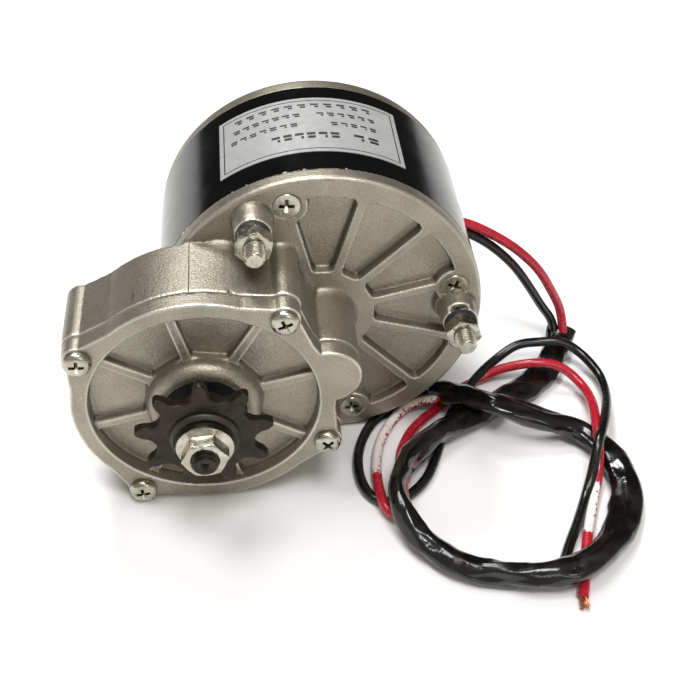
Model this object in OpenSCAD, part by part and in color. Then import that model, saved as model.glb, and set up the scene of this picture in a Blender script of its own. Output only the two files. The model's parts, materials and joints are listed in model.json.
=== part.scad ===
// Brushed direct-current gear motor lying on its side on a table.
// Local layout: x runs from the gear case towards the motor, y is up across the
// front face and z runs along the motor axis towards the sprocket.
// stance() turns that layout so that the can and one gear-case boss rest on the
// table. The origin is where the motor axis meets the front face.

/* [Motor] */
// Outside diameter of the motor can
can_d = 101; // [100.5:0.5:101.5]
// Length of the painted steel can
can_length = 46.8; // [46.5:0.1:48]
// Wall thickness of the can
can_wall = 3.2; // [3:0.1:3.3]
// Thickness of the flange of the front casting
flange_t = 5.1; // [5:0.1:5.4]
// Depth of the rear cover
rear_depth = 6.1; // [6:0.1:7]

/* [Gear train] */
// Distance between the motor axis and the output axis
centre_distance = 38.1; // [38.1:0.1:38.2]
// Teeth on the pinion
pinion_teeth = 9; // [9:1:9]
// Teeth on the output gear
gear_teeth = 88; // [88:1:88]
// Face width of the output gear
gear_width = 9; // [7:0.5:9]

/* [Gear case] */
// Outside radius of the gear case at its cover
case_r = 39.1; // [38.8:0.1:39.4]
// Height of the gear case above the front face
case_height = 23; // [22.9:0.1:23.1]
// Height of the cover rim above the front face
cover_front = 29.1; // [28.8:0.1:29.6]
// Radius of the round recess in the cover
recess_r = 34.1; // [33:0.1:34.5]
// Radius of the four screw bosses on the case
boss_r = 5; // [4.8:0.1:5.2]

/* [Output] */
// Teeth on the chain sprocket
sprocket_teeth = 9; // [9:1:9]
// Pitch of the chain
chain_pitch = 12.7; // [12.7:0.1:12.7]
// Tip radius of the sprocket
sprocket_tip_r = 20.2; // [20:0.1:21]
// Front face of the sprocket above the front face of the motor
sprocket_front = 41.7; // [41.2:0.1:42]

/* [Mounting] */
// Radius of the circle through the two mounting studs
stud_circle_r = 42.5; // [42:0.1:43]
// Height of the stud tips above the front face
stud_tip = 20.5; // [19:0.5:24]

/* [Leads] */
// Diameter of each insulated lead
lead_d = 3.4; // [3:0.1:3.4]
// Diameter of the sleeve around both leads
sleeve_d = 8; // [7:0.5:8]

/* [Hidden] */
$fn = 96;

cast_colour = [0.72, 0.70, 0.66];
zinc_colour = [0.80, 0.80, 0.74];
steel_colour = [0.62, 0.63, 0.65];
dark_steel = [0.25, 0.22, 0.20];

can_r = can_d / 2;
can_bore = can_r - can_wall;
can_rear = -flange_t - can_length;
rear_face = can_rear - rear_depth;
rear_corner_r = 48.7;
rear_edge_r = 1.5;
rear_wall = 2.2;
rear_pad_r = 17;
rear_pad_t = 1.2;
spigot_r = 44;
bearing_boss_r = 14;
gear_x = -centre_distance;
fit = 0.02;
play = 0.1;

// Gear case screws: radius about the output axis and their angles
screw_circle_r = 40.2;
screw_angles = [38.8, 135.5, -136, -38.8];
case_screw_r = 2;
cover_boss_r = 4.6;
web_reach = 19;
web_turn = 68;
web_inset = 0.05;
lobe_r = 9.7;
chamber_r = 36.2;
pinion_chamber_r = 6.8;
chamber_floor = 3;
gasket_t = 0.4;
cover_back = case_height + gasket_t;
recess_floor = 24;
plate_back = 20.6;
hub_r = 17.2;
hub_edge_r = 3.8;
hub_octagon_top = 26.4;
cover_rib_w = 3;
cover_rib_top = 26.6;
seal_r = 12.5;
seal_back = 28.8;

// The can and the lower left boss both touch the table at this turn of the motor
foot = [gear_x + screw_circle_r * cos(136), -screw_circle_r * sin(136)];
tilt = asin((can_r - boss_r) / norm(foot)) - atan2(-foot[1], -foot[0]);
table_z = -can_r;

// Front face: ribs every 30 degrees between an inner hub and an outer ring
face_hub_r = 16.8;
face_ring_r = 43.7;
face_rib_w = 2.8;
pocket_depth = 3.5;
end_screw_r = 42.4;
end_screw_angles = [90, -2, 270];
end_screw_shank_r = 2;
end_screw_head_r = 4.05;
end_screw_pad_r = 6.2;
countersink_r = 4.3;
flange_edge_r = 1.3;
stud_angles = [104.5, -12.5];
stud_boss_top = 8;
stud_pad_r = 6.8;
stud_r = 3;
stud_shank_r = 2.6;
washer_t = 2.2;
stud_nut_t = 4.6;

// Bearings: bore radius, outside radius, width and height of the back face
motor_front_bearing = [4, 11, 7, -13];
motor_rear_bearing = [4, 11, 7, -57];
motor_front_bearing_face = motor_front_bearing[3] + motor_front_bearing[2];
wave_washer_t = 0.3;
output_front_bearing = [6, 14, 8, 20.3];
output_rear_bearing = [5, 11, 6, 2.2];

// Output shaft steps
gear_back = 9.5;
gear_seat_r = 7;
shaft_r = 6;
shaft_flats = 9.6;
thread_r = 4;
shaft_end = 53.2;
nut_back = 45.1;
hub_front = 31.5;

// Sprocket, washer and flanged nut
roller_seat_r = 4.3;
roller_seat_a = 107;
tooth_tip_w = 1.5;
sprocket_t = 3;
sprocket_hub_r = 9.5;
washer_r = 10.2;
washer_face = 43.6;
washer_hub_r = 7.8;
nut_across = 12;
nut_turn = -8;
nut_flange_r = 8.3;
nut_height = 5.9;

// Armature
armature_shaft_r = 4;
core_bore_r = 5;
core_r = 38.6;
slot_r = 30;
slot_bulb_r = 3.6;
slot_mouth = 2.6;
winding_r = 35.5;
core_back = -36;
core_front = -16;
slots = 16;
commutator_r = 11.5;
commutator_bars = 16;
magnet_r = 39.4;
magnet_back = -38;
magnet_front = -12;
brush_z = -45;
grommet_angle = -14;
grommet_z = -44;
grommet_hole_r = 4.7;
grommet_r = 5.2;
grommet_rise = 1;
brush_side = 6;
holder_side = 8;
holder_length = 20;

// Foil nameplate on the can
plate_from = 45;
plate_sweep = 66;
plate_t = 0.16;
plate_low = -45;
plate_height = 31;

module stance() rotate([90, 0, 0]) rotate([0, 0, tilt]) children();
module at_polar(r, a) rotate([0, 0, a]) translate([r, 0, 0]) children();
module on_output_axis() translate([gear_x, 0, 0]) children();
module disc(r, from, to) translate([0, 0, from]) cylinder(r = r, h = to - from);
module ring(outer, inner, from, to) difference() {
    disc(outer, from, to);
    disc(inner, from - 1, to + 1);
}
module hexagon(across, from, to) translate([0, 0, from])
    cylinder(r = across / sqrt(3), h = to - from, $fn = 6);

// Corner rounded by a short curve between points part of the way to its neighbours
function towards(p, q, d) = p + (q - p) * min(0.45, d / norm(q - p));
function corner(a, p, b, d) = [for (t = [0 : 0.25 : 1])
    (1 - t) * (1 - t) * towards(p, a, d) + 2 * t * (1 - t) * p + t * t * towards(p, b, d)];
function polar(r, a) = [r * cos(a), r * sin(a)];

// ---------- Involute teeth ----------

tooth_module = 2 * centre_distance / (pinion_teeth + gear_teeth);
pressure = 20;
tip_height = 0.9;
root_depth = 1.25;
pinion_shift = 0.4;
flank_play = 0.05;

function involute(a) = tan(a) * 180 / PI - a;
function half_tooth(z, shift, r) =
    let (pitch_r = z * tooth_module / 2, base_r = pitch_r * cos(pressure))
    90 / z + 2 * shift * tan(pressure) / z * 180 / PI + involute(pressure)
    - involute(acos(min(1, base_r / r))) - flank_play / pitch_r * 180 / PI;
function tooth_tip(z, shift) = tooth_module * (z / 2 + tip_height + shift);
function tooth_root(z, shift) = tooth_module * (z / 2 - root_depth + shift);
function flank_radii(z, shift, n) =
    let (low = max(tooth_root(z, shift), z * tooth_module / 2 * cos(pressure)),
        high = tooth_tip(z, shift))
    concat([tooth_root(z, shift)], [for (i = [0 : n]) low + (high - low) * i / n + 0.001]);
function tooth_points(z, shift, n) =
    let (radii = flank_radii(z, shift, n), last = len(radii) - 1)
    concat([for (i = [0 : last]) [radii[i], -half_tooth(z, shift, max(radii[i], radii[1]))]],
        [for (i = [last : -1 : 0]) [radii[i], half_tooth(z, shift, max(radii[i], radii[1]))]]);
module teeth_outline(z, shift, first, n) {
    points = tooth_points(z, shift, n);
    polygon([for (i = [0 : z - 1]) for (p = points) polar(p[0], first + i * 360 / z + p[1])]);
}

// ---------- Cords ----------

// Routes over the table: x, y and height above the table
sleeve_route = [[95.5, 43, 6.5], [92.5, 36, 4.5], [86, 24.5, 4], [75, 13.5, 4],
    [61, 4.5, 4.5], [46, -6.5, 6.5], [33, -17, 7.5], [25, -30, 8.8], [22.5, -41, 10],
    [27, -52.5, 6], [37, -62, 4], [50, -67.5, 4], [66, -70, 6.4], [80, -65, 7.4],
    [92, -51.5, 4.8], [99, -36, 4], [98.5, -20.5, 4], [89.5, -9.5, 5], [75, -7, 9],
    [61, -3.5, 12.6], [50, 5, 9.8], [41, 10, 7.5]];
red_feed_route = [[47, 44, 53.9], [52.5, 44, 53.8], [62, 44, 49.2], [72.5, 44, 42.2],
    [82, 44, 33], [89, 44, 22.5], [94, 44.2, 13], [96.5, 43.8, 7.5]];
red_tail_route = [[41, 8.5, 6.5], [34, 7, 3.5], [26.5, 1, 1.8], [21, -9, 1.8],
    [18.5, -19.5, 1.8], [18, -30, 3], [18.5, -38.5, 4.5], [21, -42.5, 3], [24, -40.5, 3.5],
    [25.5, -34, 4.4], [26, -24.5, 2.5], [27.5, -14, 1.8], [33, -3.5, 1.8], [42, 5.5, 1.8],
    [51, 14.5, 1.8], [59, 19.5, 1.8], [68, 21.5, 5.5], [79.5, 20, 9.5], [88.5, 19, 8.5],
    [95.5, 13.5, 5], [96, 2, 7.5], [94, -10, 9.6], [92.5, -19.5, 9.5], [91.5, -27, 5],
    [88.5, -35.5, 1.8], [83.5, -48, 1.8], [79.5, -59.5, 1.8], [76.5, -70, 1.8],
    [74.5, -75.5, 1.8]];
black_feed_route = [[47, 44, 50.6], [52.5, 44, 50.2], [62.5, 44, 44.4], [72.5, 44, 35.2],
    [80, 44, 25.2], [86.5, 44, 15.5], [91, 44, 9.5], [94.3, 43.3, 6.8]];
black_tail_route = [[41, 11.5, 8], [35, 9.5, 4.5], [27.5, 6.5, 2.2], [20.5, 1.5, 1.8],
    [15, -8, 1.8], [12.5, -18, 1.8], [13, -27.5, 1.8], [16, -34, 1.8], [21.5, -36, 1.8],
    [28, -33, 1.8], [34.5, -26, 1.8], [39, -16.5, 1.8], [43, -6.5, 1.8], [47, 2.5, 1.8],
    [53, 11.5, 3], [60, 20, 4.6], [67.5, 27, 5.5], [75.5, 31, 8.5], [84, 31.5, 9.2],
    [91, 31, 9.8], [98, 28.5, 7], [103.5, 20, 4.5], [103.5, 10, 5], [100.5, -1, 8],
    [95.5, -13.5, 11.5], [91, -22.5, 12.6], [88.5, -29.5, 6], [85.5, -36, 1.8],
    [80, -47, 1.8], [74.5, -57, 1.8], [70.5, -65.5, 1.8]];
red_strand_route = [[74.5, -75.5, 1.8], [74.3, -77.5, 1.8], [74.2, -79.5, 1.8]];
black_strand_route = [[70.5, -65.5, 1.8], [69.7, -67.5, 1.8], [69, -69.5, 1.8]];

strand_r = 1.4;

function unit(v) = v / norm(v);
function on_table(route) = [for (p = route) [p[0], p[1], table_z + p[2]]];
function heading(path, i) = unit(path[min(i + 1, len(path) - 1)] - path[max(i - 1, 0)]);
function tube_points(path, r, sides, level) = [for (i = [0 : len(path) - 1])
    let (side = unit(cross(heading(path, i), level)), up = cross(side, heading(path, i)))
    for (k = [0 : sides - 1])
        path[i] + r * (cos(360 * k / sides) * side + sin(360 * k / sides) * up)];
module tube(path, r, sides, level) {
    rings = len(path);
    polyhedron(tube_points(path, r, sides, level), concat(
        [[for (k = [0 : sides - 1]) k]],
        [for (i = [0 : rings - 2]) for (k = [0 : sides - 1])
            [i * sides + k, (i + 1) * sides + k, (i + 1) * sides + (k + 1) % sides,
            i * sides + (k + 1) % sides]],
        [[for (k = [sides - 1 : -1 : 0]) (rings - 1) * sides + k]]));
}
vertical = [0, 0, 1];
table_wise = [0, 1, 0];

// ---------- Motor body ----------

module motor_can() color([0.03, 0.03, 0.03]) stance() difference() {
    ring(can_r, can_bore, can_rear, -flange_t);
    rotate([0, 0, grommet_angle]) translate([0, 0, grommet_z]) rotate([0, 90, 0])
        cylinder(r = grommet_hole_r, h = can_r + 5);
}

module rear_cover() color(cast_colour) stance() difference() {
    union() {
        rotate_extrude() polygon(concat([[0, rear_face], [rear_corner_r, rear_face]],
            [for (a = [-75 : 15 : 0]) [rear_corner_r + rear_edge_r * cos(a),
                rear_face + rear_edge_r + rear_edge_r * sin(a)]],
            [[rear_corner_r + rear_edge_r, can_rear], [can_bore - fit, can_rear],
            [can_bore - fit, can_rear + 3], [spigot_r, can_rear + 3], [spigot_r, rear_face + rear_wall],
            [0, rear_face + rear_wall]]));
        disc(bearing_boss_r, rear_face, motor_rear_bearing[3] + motor_rear_bearing[2]);
        disc(rear_pad_r, rear_face - rear_pad_t, rear_face);
        for (a = end_screw_angles) at_polar(end_screw_r, a) disc(4.4, rear_face + 1, can_rear + 2.5);
    }
    disc(motor_rear_bearing[1] + fit, motor_rear_bearing[3], 0);
    for (a = end_screw_angles) at_polar(end_screw_r, a)
        disc(end_screw_shank_r + fit, rear_face + 2, 0);
}

// One recessed panel between two ribs of the front face
module face_pocket(a) {
    half = face_rib_w / 2;
    inner_a = asin(half / face_hub_r);
    outer_a = asin(half / face_ring_r);
    a1 = polar(face_hub_r, a + inner_a);
    a2 = polar(face_ring_r, a + outer_a);
    b2 = polar(face_ring_r, a + 30 - outer_a);
    b1 = polar(face_hub_r, a + 30 - inner_a);
    polygon(concat(corner(b1, a1, a2, 1.5), corner(a1, a2, polar(face_ring_r, a + 8), 3),
        [for (t = [10 : 2 : 20]) polar(face_ring_r, a + t)],
        corner(polar(face_ring_r, a + 22), b2, b1, 3), corner(b2, b1, a1, 1.5)));
}

// Case wall with four screw bosses, a web that joins each boss to the wall, and the pinion lobe
module case_outline(from, to, boss) translate([0, 0, from]) linear_extrude(to - from) {
    circle(lobe_r);
    on_output_axis() {
        circle(case_r);
        for (a = screw_angles) {
            at_polar(screw_circle_r, a) circle(boss);
            rotate([0, 0, a]) polygon([polar(case_r - web_inset, -web_reach),
                [screw_circle_r, 0] + polar(boss - web_inset, -web_turn),
                [screw_circle_r, 0] + polar(boss - web_inset, web_turn),
                polar(case_r - web_inset, web_reach)]);
        }
    }
}

module front_casting() color(cast_colour) stance() difference() {
    union() {
        difference() {
            union() {
                rotate_extrude() polygon(concat([[0, -flange_t], [can_r, -flange_t]],
                    [for (a = [0 : 15 : 90]) [can_r - flange_edge_r * (1 - cos(a)),
                        flange_edge_r * (sin(a) - 1)]],
                    [[0, 0]]));
                ring(can_bore - fit, spigot_r, -9, -flange_t);
                disc(bearing_boss_r, motor_front_bearing[3], -flange_t);
                case_outline(0, case_height, boss_r);
                for (a = stud_angles) at_polar(stud_circle_r, a)
                    cylinder(r1 = 6, r2 = 5.5, h = stud_boss_top);
            }
            translate([0, 0, -pocket_depth]) linear_extrude(pocket_depth + 0.01) difference() {
                for (a = [-90 : 30 : 60]) face_pocket(a);
                for (a = end_screw_angles) at_polar(end_screw_r, a) circle(end_screw_pad_r);
                for (a = stud_angles) at_polar(stud_circle_r, a) circle(stud_pad_r);
            }
            on_output_axis() disc(chamber_r, chamber_floor, case_height + 1);
            disc(pinion_chamber_r, chamber_floor, case_height + 1);
        }
        on_output_axis()
            disc(bearing_boss_r, chamber_floor - 0.5, output_rear_bearing[3] + output_rear_bearing[2]);
    }
    disc(motor_front_bearing[1] + fit, -20, motor_front_bearing_face + wave_washer_t);
    disc(5.2, -7, chamber_floor + 1);
    on_output_axis() disc(output_rear_bearing[1] + fit, output_rear_bearing[3], 20);
    on_output_axis() for (a = screw_angles) at_polar(screw_circle_r, a)
        disc(case_screw_r + fit, 8, case_height + 1);
    for (a = end_screw_angles) at_polar(end_screw_r, a) {
        disc(end_screw_shank_r + 0.2, -10, 1);
        translate([0, 0, -2.1]) cylinder(r1 = end_screw_shank_r + 0.2, r2 = countersink_r, h = 2.101);
        disc(countersink_r + 0.2, 0, 12);
    }
    for (a = stud_angles) at_polar(stud_circle_r, a)
        disc(stud_shank_r + fit, -4, 12);
}

module gear_case_cover() color(cast_colour) stance() difference() {
    union() {
        difference() {
            case_outline(cover_back, cover_front, cover_boss_r);
            on_output_axis() disc(recess_r, recess_floor, 60);
        }
        on_output_axis() {
            disc(chamber_r - play, plate_back, recess_floor);
            translate([0, 0, recess_floor])
                cylinder(r = hub_r / cos(22.5), h = hub_octagon_top - recess_floor, $fn = 8);
            rotate_extrude() polygon(concat([[0, recess_floor], [hub_r, recess_floor]],
                [for (a = [0 : 15 : 90]) [hub_r - hub_edge_r * (1 - cos(a)),
                    hub_front - hub_edge_r * (1 - sin(a))]], [[0, hub_front]]));
            for (a = [0 : 45 : 315]) rotate([0, 0, a])
                translate([hub_r - 2, -cover_rib_w / 2, recess_floor - 1])
                    cube([recess_r + 0.2 - hub_r + 2, cover_rib_w, cover_rib_top - recess_floor + 1]);
        }
    }
    on_output_axis() {
        disc(output_front_bearing[1] + fit, 0, output_front_bearing[3] + output_front_bearing[2]);
        disc(9, 0, 40);
        disc(seal_r + fit, seal_back, 40);
        for (a = screw_angles) at_polar(screw_circle_r, a) disc(case_screw_r + 0.2, 0, 40);
    }
}

module cover_gasket() color([0.15, 0.14, 0.13]) stance() difference() {
    case_outline(case_height, cover_back, cover_boss_r);
    on_output_axis() disc(chamber_r, 0, 40);
    disc(pinion_chamber_r, 0, 40);
    on_output_axis() for (a = screw_angles) at_polar(screw_circle_r, a)
        disc(case_screw_r + 0.2, 0, 40);
}

module nameplate() color([0.88, 0.88, 0.86]) stance() rotate([0, 0, plate_from])
    rotate_extrude(angle = plate_sweep) translate([can_r, plate_low]) square([plate_t, plate_height]);

// ---------- Magnets and armature ----------

module magnet(n) color([0.20, 0.20, 0.21]) stance() rotate([0, 0, 90 * n - 77])
    rotate_extrude(angle = 64) translate([magnet_r, magnet_back])
        square([can_bore - fit - magnet_r, magnet_front - magnet_back]);
module magnet_1() magnet(1);
module magnet_2() magnet(2);
module magnet_3() magnet(3);
module magnet_4() magnet(4);

module armature_shaft() color(steel_colour) stance() {
    disc(armature_shaft_r, -56.6, core_back - 13);
    disc(core_bore_r, core_back - 13, core_front + 2);
    disc(armature_shaft_r, core_front + 2, 5);
    translate([0, 0, 5]) linear_extrude(15) teeth_outline(pinion_teeth, pinion_shift, 180, 5);
}

module armature_core() color([0.45, 0.45, 0.47]) stance() translate([0, 0, core_back])
    linear_extrude(core_front - core_back) difference() {
        circle(core_r);
        circle(core_bore_r);
        for (i = [0 : slots - 1]) rotate([0, 0, i * 360 / slots]) {
            translate([slot_r, 0]) circle(slot_bulb_r);
            translate([slot_r, -slot_mouth / 2]) square([core_r - slot_r + 1, slot_mouth]);
        }
    }

module armature_windings() color([0.72, 0.38, 0.18]) stance() {
    ring(winding_r, 17, core_front, core_front + 5);
    ring(winding_r, 13.5, core_back - 4.5, core_back);
    for (i = [0 : slots - 1]) at_polar(slot_r, i * 360 / slots)
        disc(slot_bulb_r - 0.3, core_back - 1, core_front + 1);
}

module commutator() color([0.70, 0.42, 0.26]) stance() translate([0, 0, core_back - 12.8])
    linear_extrude(8.3) difference() {
        circle(commutator_r);
        circle(core_bore_r);
        for (i = [0 : commutator_bars - 1]) rotate([0, 0, (i + 0.5) * 360 / commutator_bars])
            translate([commutator_r - 1.5, -0.3]) square([2, 0.6]);
    }

// ---------- Bearings ----------

function race_mid(b) = (b[0] + b[1]) / 2;
function race_gap(b) = (b[1] - b[0]) * 0.2;
function ball_r(b) = race_gap(b) * 1.4;
module raceway(b) translate([0, 0, b[3] + b[2] / 2]) rotate_extrude()
    translate([race_mid(b), 0]) circle(ball_r(b) + 0.03, $fn = 48);
module bearing_outer(b) color(steel_colour) {
    difference() {
        ring(b[1], race_mid(b) + race_gap(b), b[3], b[3] + b[2]);
        raceway(b);
    }
    for (z = [b[3] + 0.2, b[3] + b[2] - 0.8])
        ring(race_mid(b) + race_gap(b) + 0.05, race_mid(b) - race_gap(b) + 0.05, z, z + 0.6);
}
module bearing_inner(b) color(steel_colour) difference() {
    ring(race_mid(b) - race_gap(b), b[0], b[3], b[3] + b[2]);
    raceway(b);
}
module balls(b, count) translate([0, 0, b[3] + b[2] / 2]) for (i = [0 : count - 1])
    at_polar(race_mid(b), i * 360 / count) sphere(ball_r(b), $fn = 32);

module motor_front_bearing_outer() stance() bearing_outer(motor_front_bearing);
module motor_front_bearing_inner() stance() bearing_inner(motor_front_bearing);
module motor_rear_bearing_outer() stance() bearing_outer(motor_rear_bearing);
module motor_rear_bearing_inner() stance() bearing_inner(motor_rear_bearing);
module output_front_bearing_outer() stance() on_output_axis() bearing_outer(output_front_bearing);
module output_front_bearing_inner() stance() on_output_axis() bearing_inner(output_front_bearing);
module output_rear_bearing_outer() stance() on_output_axis() bearing_outer(output_rear_bearing);
module output_rear_bearing_inner() stance() on_output_axis() bearing_inner(output_rear_bearing);
module bearing_balls() color([0.85, 0.85, 0.87]) stance() {
    balls(motor_front_bearing, 7);
    balls(motor_rear_bearing, 7);
    on_output_axis() balls(output_front_bearing, 8);
    on_output_axis() balls(output_rear_bearing, 8);
}

module wave_washer() color(steel_colour) stance()
    ring(10.8, 9, motor_front_bearing_face, motor_front_bearing_face + wave_washer_t);

// ---------- Brush gear ----------

module brush_places() for (a = [45 : 90 : 315]) rotate([0, 0, a]) translate([0, 0, brush_z])
    children();

module brush_plate() color([0.35, 0.22, 0.12]) stance() difference() {
    ring(43.9, 15, brush_z - 6.4, brush_z - 4.8);
    for (a = end_screw_angles) at_polar(end_screw_r, a) disc(4.6, -60, -40);
}

module brush_holders() color([0.80, 0.62, 0.30]) stance() brush_places() difference() {
    translate([13, -holder_side / 2, -4.8]) cube([holder_length, holder_side, holder_side + 0.8]);
    translate([12, -brush_side / 2 - 0.05, -brush_side / 2 - 0.05])
        cube([holder_length, brush_side + 0.1, brush_side + 0.1]);
}

module brushes() color([0.16, 0.16, 0.17]) stance() brush_places() difference() {
    translate([commutator_r - 0.6, -brush_side / 2, -brush_side / 2]) cube([12, brush_side, brush_side]);
    cylinder(r = commutator_r + 0.05, h = 20, center = true);
}

// Compression spring between each brush and the closed end of its holder
spring_turns = 4;
spring_steps = 8;
function coil(from, to, r) = [for (i = [0 : spring_turns * spring_steps])
    let (a = i * 360 / spring_steps)
    [from + (to - from) * i / (spring_turns * spring_steps), r * cos(a), r * sin(a)]];
module brush_springs() color([0.75, 0.72, 0.62]) stance() brush_places()
    tube(coil(commutator_r + 11.8, 31.6, 2.2), 0.3, 6, [1, 0, 0]);

// ---------- Output train ----------

module output_gear() color([0.5, 0.5, 0.52]) stance() on_output_axis()
    translate([0, 0, gear_back]) difference() {
        linear_extrude(gear_width)
            teeth_outline(gear_teeth, -pinion_shift, 180 / gear_teeth, 3);
        disc(gear_seat_r, -1, 20);
        translate([0, -2, -1]) cube([9, 4, 20]);
        for (z = [-1, gear_width - 2.5]) ring(29.5, 12.5, z, z + 3.5);
        for (a = [30 : 60 : 330]) at_polar(21, a) disc(4.5, -1, 20);
    }

module output_shaft() color(dark_steel) stance() on_output_axis() difference() {
    union() {
        disc(5, output_rear_bearing[3], 8.4);
        disc(8.4, 8.4, gear_back);
        disc(gear_seat_r, gear_back, 20.2);
        disc(shaft_r, 20.2, 37);
        translate([0, 0, 37]) linear_extrude(nut_back - 37) double_d();
        disc(thread_r, nut_back - 0.2, shaft_end - 0.8);
        translate([0, 0, shaft_end - 0.8]) cylinder(r1 = thread_r, r2 = thread_r - 0.8, h = 0.8);
    }
    translate([4.5, -2, gear_back + 0.5]) cube([5, 4, 8]);
    translate([0, 0, shaft_end - 2]) cylinder(r1 = 0.4, r2 = 1.4, h = 2.01);
    ring(10, 6.5, 18.7, 19.8);
}

module gear_key() color(steel_colour) stance() on_output_axis()
    translate([4.5, -2, gear_back + 0.5]) cube([4.45, 4, 8]);

module gear_circlip() color(dark_steel) stance() on_output_axis() difference() {
    ring(8.6, 6.5, 18.75, 19.75);
    translate([0, -1.5, 18]) cube([10, 3, 3]);
}

module oil_seal() color([0.10, 0.10, 0.10]) stance() on_output_axis() difference() {
    ring(seal_r, 6.05, seal_back, seal_back + 2.2);
    ring(seal_r - 1.3, 7.4, seal_back + 1.2, seal_back + 3);
}

// Sprocket: roller seats on the pitch circle, each opening outwards between two teeth
module sprocket_outline() {
    pitch_r = chain_pitch / 2 / sin(180 / sprocket_teeth);
    tip_a = 180 / sprocket_teeth - asin(tooth_tip_w / 2 / sprocket_tip_r);
    seat = polar(roller_seat_r - 0.05, roller_seat_a);
    mouth = polar(sprocket_tip_r, tip_a) - [pitch_r, 0];
    beyond = polar(sprocket_tip_r + 3, tip_a) - [pitch_r, 0];
    difference() {
        circle(sprocket_tip_r);
        for (i = [0 : sprocket_teeth - 1]) rotate([0, 0, 57.5 + i * 360 / sprocket_teeth])
            translate([pitch_r, 0]) {
                circle(roller_seat_r);
                polygon([[seat[0], -seat[1]], [mouth[0], -mouth[1]], [beyond[0], -beyond[1]],
                    beyond, mouth, seat]);
            }
    }
}

module double_d() intersection() {
    circle(shaft_r);
    square([2 * shaft_r + 1, shaft_flats], center = true);
}

module sprocket() color(dark_steel) stance() on_output_axis() difference() {
    union() {
        translate([0, 0, sprocket_front - sprocket_t]) linear_extrude(sprocket_t) sprocket_outline();
        disc(sprocket_hub_r, 37.1, sprocket_front - 2);
    }
    translate([0, 0, 30]) linear_extrude(20) double_d();
}

module sprocket_washer() color(dark_steel) stance() on_output_axis() difference() {
    rotate_extrude() polygon([[0, sprocket_front], [washer_r, sprocket_front],
        [washer_r, sprocket_front + 0.9], [washer_r - 1, washer_face],
        [washer_hub_r, washer_face], [washer_hub_r, nut_back], [0, nut_back]]);
    translate([0, 0, 30]) linear_extrude(20) double_d();
}

module sprocket_nut() color(zinc_colour) stance() on_output_axis() difference() {
    union() {
        rotate_extrude() polygon([[0, nut_back], [nut_flange_r, nut_back],
            [nut_flange_r, nut_back + 0.8], [6.4, nut_back + 2], [0, nut_back + 2]]);
        rotate([0, 0, nut_turn]) hexagon(nut_across, nut_back, nut_back + nut_height);
    }
    disc(thread_r, 30, 60);
}

// ---------- Fasteners ----------

module cross_recess(size, from, to) for (a = [0, 90]) rotate([0, 0, a])
    translate([-size, -size * 0.24, from]) cube([2 * size, size * 0.48, to - from]);

module cover_screws() color(zinc_colour) stance() on_output_axis()
    for (a = screw_angles) at_polar(screw_circle_r, a) difference() {
        union() {
            disc(case_screw_r, 10, cover_front + 1);
            rotate_extrude() polygon(concat([[0, cover_front], [4.2, cover_front]],
                [for (t = [0 : 15 : 90]) [2.6 + 1.6 * cos(t), cover_front + 1.1 + 1.6 * sin(t)]],
                [[0, cover_front + 2.7]]));
        }
        rotate([0, 0, 30]) cross_recess(2.1, cover_front + 1, cover_front + 4);
    }

module end_screws() color(zinc_colour) stance() for (a = end_screw_angles)
    at_polar(end_screw_r, a) difference() {
        union() {
            disc(end_screw_shank_r, rear_face + 2.5, -2);
            translate([0, 0, -2.3])
                cylinder(r1 = end_screw_shank_r - 0.05, r2 = end_screw_head_r, h = 2.1);
            disc(end_screw_head_r, -0.2, 0);
        }
        cross_recess(2.3, -1.6, 1);
    }

module stud_places() for (a = stud_angles) at_polar(stud_circle_r, a) children();

module mounting_studs() color(zinc_colour) stance() stud_places() {
    disc(stud_shank_r, -4, stud_boss_top + washer_t + stud_nut_t);
    disc(stud_r, stud_boss_top + washer_t + stud_nut_t, stud_tip - 0.8);
    translate([0, 0, stud_tip - 0.8]) cylinder(r1 = stud_r, r2 = stud_r - 0.8, h = 0.8);
}

module stud_washers() color([0.12, 0.12, 0.12]) stance() stud_places()
    ring(5.2, stud_r + 0.2, stud_boss_top, stud_boss_top + washer_t);

module stud_nuts() color(zinc_colour) stance() stud_places() difference() {
    hexagon(10, stud_boss_top + washer_t, stud_boss_top + washer_t + stud_nut_t);
    disc(stud_shank_r + fit, 0, 30);
}

// ---------- Leads ----------

module cable_grommet() color([0.06, 0.06, 0.06]) stance() rotate([0, 0, grommet_angle])
    translate([0, 0, grommet_z]) difference() {
        rotate([0, 90, 0]) cylinder(r = grommet_r, h = can_r + grommet_rise);
        difference() {
            translate([0, 0, -10]) cylinder(r = can_r, h = 20);
            rotate([0, 90, 0]) cylinder(r = grommet_hole_r - 0.1, h = 80);
        }
        translate([0, 0, -10]) cylinder(r = can_bore - 1, h = 20);
    }

module cable_sleeve() color([0.05, 0.05, 0.05])
    tube(on_table(sleeve_route), sleeve_d / 2, 12, vertical);

module red_lead() color([0.65, 0.06, 0.07]) {
    tube(on_table(red_feed_route), lead_d / 2, 8, table_wise);
    tube(on_table(red_tail_route), lead_d / 2, 8, vertical);
}

module black_lead() color([0.06, 0.06, 0.06]) {
    tube(on_table(black_feed_route), lead_d / 2, 8, table_wise);
    tube(on_table(black_tail_route), lead_d / 2, 8, vertical);
}

module red_lead_strands() color([0.60, 0.32, 0.18])
    tube(on_table(red_strand_route), strand_r, 8, vertical);

module black_lead_strands() color([0.60, 0.32, 0.18])
    tube(on_table(black_strand_route), strand_r, 8, vertical);

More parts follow.
